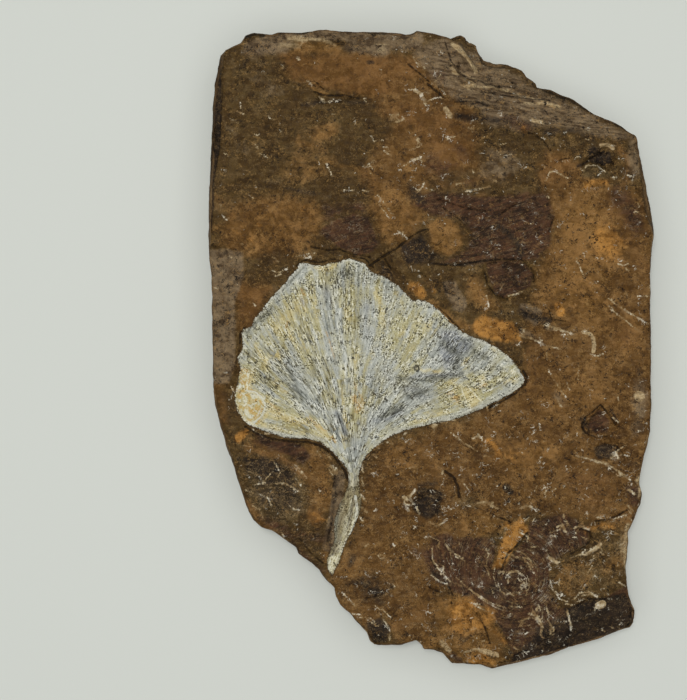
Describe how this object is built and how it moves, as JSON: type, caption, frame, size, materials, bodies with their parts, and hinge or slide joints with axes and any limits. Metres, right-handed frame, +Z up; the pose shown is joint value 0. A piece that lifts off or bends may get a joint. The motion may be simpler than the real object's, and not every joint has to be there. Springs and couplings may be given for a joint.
{
  "type": "fossil ginkgo leaf on a rock slab",
  "caption": "Flat broken slab of brown silicified shale carrying a pale, fan-shaped ginkgo leaf fossil with its stalk, lying face up.",
  "frame": {"origin": "middle of the slab's box, on the flat underside that it rests on", "axes": "+Z up out of the face that carries the leaf; +Y from the leaf's stalk towards its fan, along the slab's length"},
  "size_m": [0.0748, 0.107, 0.0117],
  "materials": {
    "shale": "broken silicified shale, brown with ochre, orange and maroon patches, faint gloss",
    "leaf_film": "matt pale grey mineral film with fine dark veins"
  },
  "bodies": {
    "root": {"rock_slab": "shale", "ginkgo_leaf": "leaf_film"}
  },
  "joints": []
}
